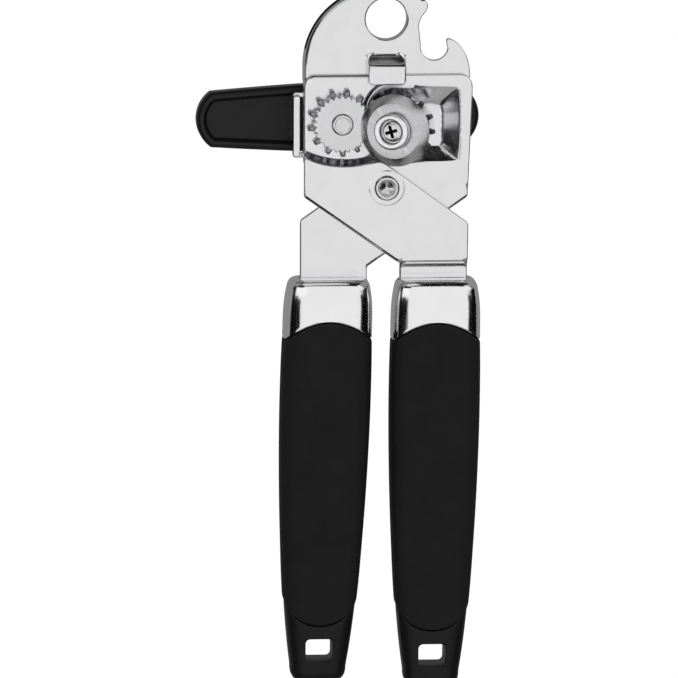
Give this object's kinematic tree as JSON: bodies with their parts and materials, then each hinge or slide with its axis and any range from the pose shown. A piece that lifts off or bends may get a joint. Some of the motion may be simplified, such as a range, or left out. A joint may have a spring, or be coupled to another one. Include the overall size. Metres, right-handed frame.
{
  "type": "manual can opener",
  "caption": "Crossed-lever hand can opener with tilted cutting wheel, geared feed wheel, butterfly crank, bottle-opener notch and cushioned handles.",
  "frame": {"origin": "bottom centre of the bounding box, on the flat underside of the crank, with the crank's turning axis at X = 0", "axes": "+Y from the handle ends to the head, +Z from the crank toward the cutting wheel, +X to the right facing the cutting wheel with the head up; the opener lies on its back"},
  "size_m": [0.0854, 0.2108, 0.0332],
  "materials": {
    "chrome_plate": "nickel-chrome plated pressed steel, satin bright with fine grain",
    "satin_steel": "turned steel, satin",
    "tool_steel": "hardened steel, ground, slightly darker",
    "bronze": "sintered bronze, matte",
    "gloss_black_plastic": "moulded black plastic, glossy",
    "hard_black_plastic": "moulded black plastic, semi-gloss",
    "soft_grip": "soft-touch black elastomer, matte"
  },
  "bodies": {
    "drive_lever": {"back_plate": "chrome_plate", "bearing_bracket": "chrome_plate", "drive_lever_plate": "chrome_plate", "pivot_rivet": "satin_steel", "pivot_rear_washer": "satin_steel", "axle_bushing": "bronze", "right_collar": "chrome_plate", "right_grip": "soft_grip", "right_handle_core": "hard_black_plastic", "right_tang_pin": "satin_steel"},
    "cutter_lever": {"cutter_lever_plate": "chrome_plate", "cutter_post": "satin_steel", "cutter_screw": "satin_steel", "left_collar": "chrome_plate", "left_grip": "soft_grip", "left_handle_core": "hard_black_plastic", "left_tang_pin": "satin_steel"},
    "crank": {"crank_thrust_washer": "satin_steel", "drive_gear": "tool_steel", "feed_wheel": "satin_steel", "drive_axle": "satin_steel", "crank_knob": "gloss_black_plastic", "crank_insert": "satin_steel", "crank_cap": "hard_black_plastic"},
    "cutter_wheel_set": {"cutter_thrust_washer": "satin_steel", "cutter_gear": "tool_steel", "cutter_spacer": "satin_steel", "cutting_wheel": "tool_steel", "cutter_hub_washer": "chrome_plate"}
  },
  "joints": [
    {"name": "handle_pivot", "type": "hinge", "parent": "drive_lever", "child": "cutter_lever", "pos_m": [0.0136, 0.04595, 0.0153], "axis": [0, 0, -1], "range_deg": [0, 25]},
    {"name": "crank_spin", "type": "hinge", "parent": "drive_lever", "child": "crank", "pos_m": [0, 0.06555, 0.014], "axis": [0, 0, 1], "continuous": true},
    {"name": "cutter_spin", "type": "hinge", "parent": "cutter_lever", "child": "cutter_wheel_set", "pos_m": [0.0179, 0.06435, 0.0218], "axis": [-0.4226, 0, 0.9063], "continuous": true}
  ],
  "couplings": [
    {"joint": "cutter_spin", "follows": "crank_spin", "ratio": -1}
  ]
}
